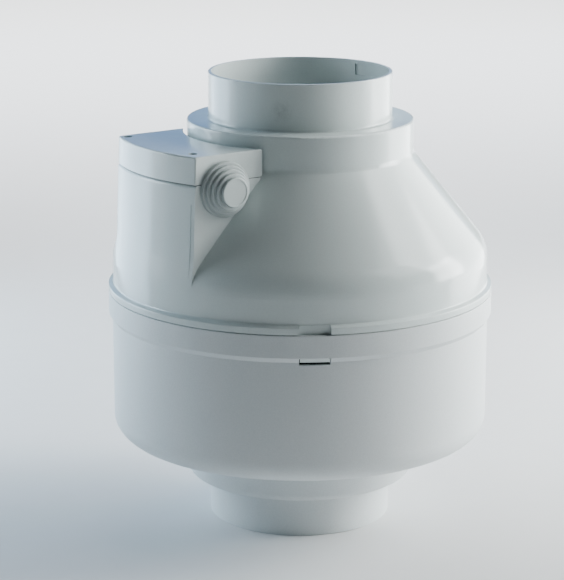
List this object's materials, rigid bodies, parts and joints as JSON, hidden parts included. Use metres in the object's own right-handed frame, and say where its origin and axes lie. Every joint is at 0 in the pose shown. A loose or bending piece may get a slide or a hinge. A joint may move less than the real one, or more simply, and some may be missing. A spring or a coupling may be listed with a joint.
{
  "type": "inline duct fan",
  "caption": "Inline duct fan: round two-piece plastic casing with coaxial spigots, cone outlet, side terminal box with lifting lid, and a motor-driven centrifugal impeller.",
  "frame": {"origin": "on the air path's axis at the inlet spigot's edge, which is the lowest point", "axes": "+Z along the air path from inlet to outlet; the seen side, with its snap latch, faces -Y"},
  "size_m": [0.262, 0.262, 0.3085],
  "materials": {
    "casing_plastic": "smooth moulded, glossy light grey",
    "casing_satin": "moulded light grey with a fine satin grain",
    "seal_rubber": "soft matt black",
    "grommet_rubber": "soft satin grey",
    "nozzle_plastic": "moulded dark grey",
    "bracket_plastic": "moulded mid grey",
    "impeller_plastic": "moulded black, fine texture",
    "motor_paint": "black powder paint",
    "lamination_steel": "stacked laminations",
    "winding_copper": "varnished copper wire",
    "machined_steel": "ground",
    "spring_steel": "dark spring steel",
    "cast_aluminium": "die cast",
    "zinc_steel": "zinc plated",
    "lead_jacket": "smooth dark grey sheath",
    "core_insulation": "coloured core insulation",
    "terminal_plastic": "natural nylon",
    "capacitor_plastic": "white moulded can"
  },
  "bodies": {
    "casing": {"outlet_casing": "casing_plastic", "inlet_casing": "casing_satin", "casing_seal": "seal_rubber", "lid_gasket": "seal_rubber", "cable_grommet": "grommet_rubber", "inlet_nozzle": "nozzle_plastic", "motor_bracket": "bracket_plastic", "stator_core": "lamination_steel", "stator_windings": "winding_copper", "lower_bearing": "machined_steel", "upper_bearing": "machined_steel", "motor_flange": "cast_aluminium", "vibration_dampers": "seal_rubber", "motor_screws": "zinc_steel", "bracket_screws": "zinc_steel", "nozzle_screws": "zinc_steel", "terminal_screws": "zinc_steel", "lead_bushings": "seal_rubber", "lead_clips": "bracket_plastic", "motor_lead": "lead_jacket", "lead_conductors": "core_insulation", "terminal_block": "terminal_plastic", "run_capacitor": "capacitor_plastic", "capacitor_clip": "spring_steel"},
    "rotor": {"impeller_wheel": "impeller_plastic", "impeller_shroud": "impeller_plastic", "balance_clips": "spring_steel", "rotor_can": "motor_paint", "rotor_core": "lamination_steel", "motor_shaft": "machined_steel", "shaft_circlip": "spring_steel"},
    "lid": {"terminal_box_lid": "casing_plastic", "lid_screws": "spring_steel"}
  },
  "joints": [
    {"name": "rotor_spin", "type": "hinge", "parent": "casing", "child": "rotor", "pos_m": [0, 0, 0.1375], "axis": [0, 0, 1], "continuous": true},
    {"name": "lid_lift", "type": "slide", "parent": "casing", "child": "lid", "axis": [0, 0, 1], "range_m": [0, 0.06]}
  ]
}
